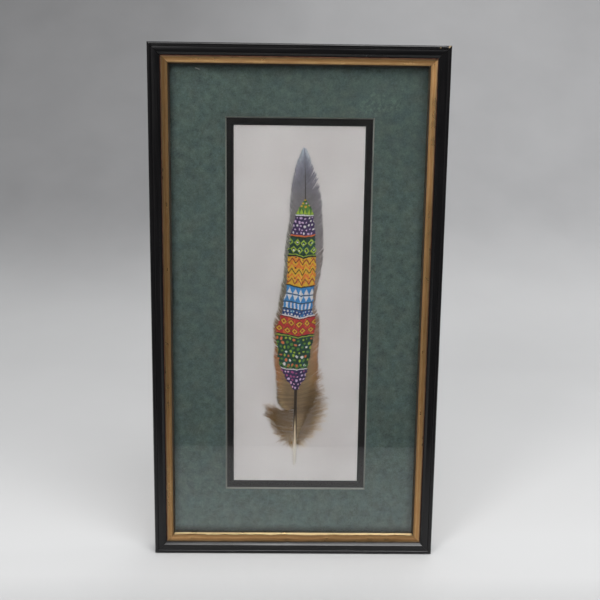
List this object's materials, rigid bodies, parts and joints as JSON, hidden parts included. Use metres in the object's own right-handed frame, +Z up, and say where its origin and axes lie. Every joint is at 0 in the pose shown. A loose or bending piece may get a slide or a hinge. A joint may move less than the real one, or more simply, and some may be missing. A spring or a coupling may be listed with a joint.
{
  "type": "framed turkey wing feather",
  "caption": "Painted turkey wing feather, matted in green and black under glass in a black wooden picture frame with a gilt lip, to hang on a wall.",
  "frame": {"origin": "on the wall plane, at the middle of the hanger on the back of the top rail", "axes": "+Z up along the feather towards its tip, +Y into the wall, -Y out of the picture towards the viewer, +X to the viewer's right"},
  "size_m": [0.27, 0.025, 0.484],
  "materials": {
    "black_lacquer": "black lacquer with a gilt lip, worn at the corners",
    "glass": "clear float glass with a light haze",
    "green_mat_paper": "matt, finely mottled, with a pale core at the bevel",
    "black_mat_paper": "matt",
    "white_board": "matt warm white",
    "feather": "grey-brown barbs, with thin satin paint on the middle",
    "grey_board": "matt",
    "steel": "plated sheet and wire",
    "kraft_paper": "matt brown, slightly wrinkled",
    "felt": "black felt"
  },
  "bodies": {
    "root": {"rail_top": "black_lacquer", "rail_bottom": "black_lacquer", "rail_left": "black_lacquer", "rail_right": "black_lacquer", "glass": "glass", "outer_mat": "green_mat_paper", "inner_mat": "black_mat_paper", "art_board": "white_board", "feather": "feather", "backing_board": "grey_board", "point_left_1": "steel", "point_left_2": "steel", "point_left_3": "steel", "point_right_1": "steel", "point_right_2": "steel", "point_right_3": "steel", "point_bottom_1": "steel", "point_top_1": "steel", "dust_cover": "kraft_paper", "hanger": "steel", "nail_1": "steel", "nail_2": "steel", "bumper_left": "felt", "bumper_right": "felt"}
  },
  "joints": []
}
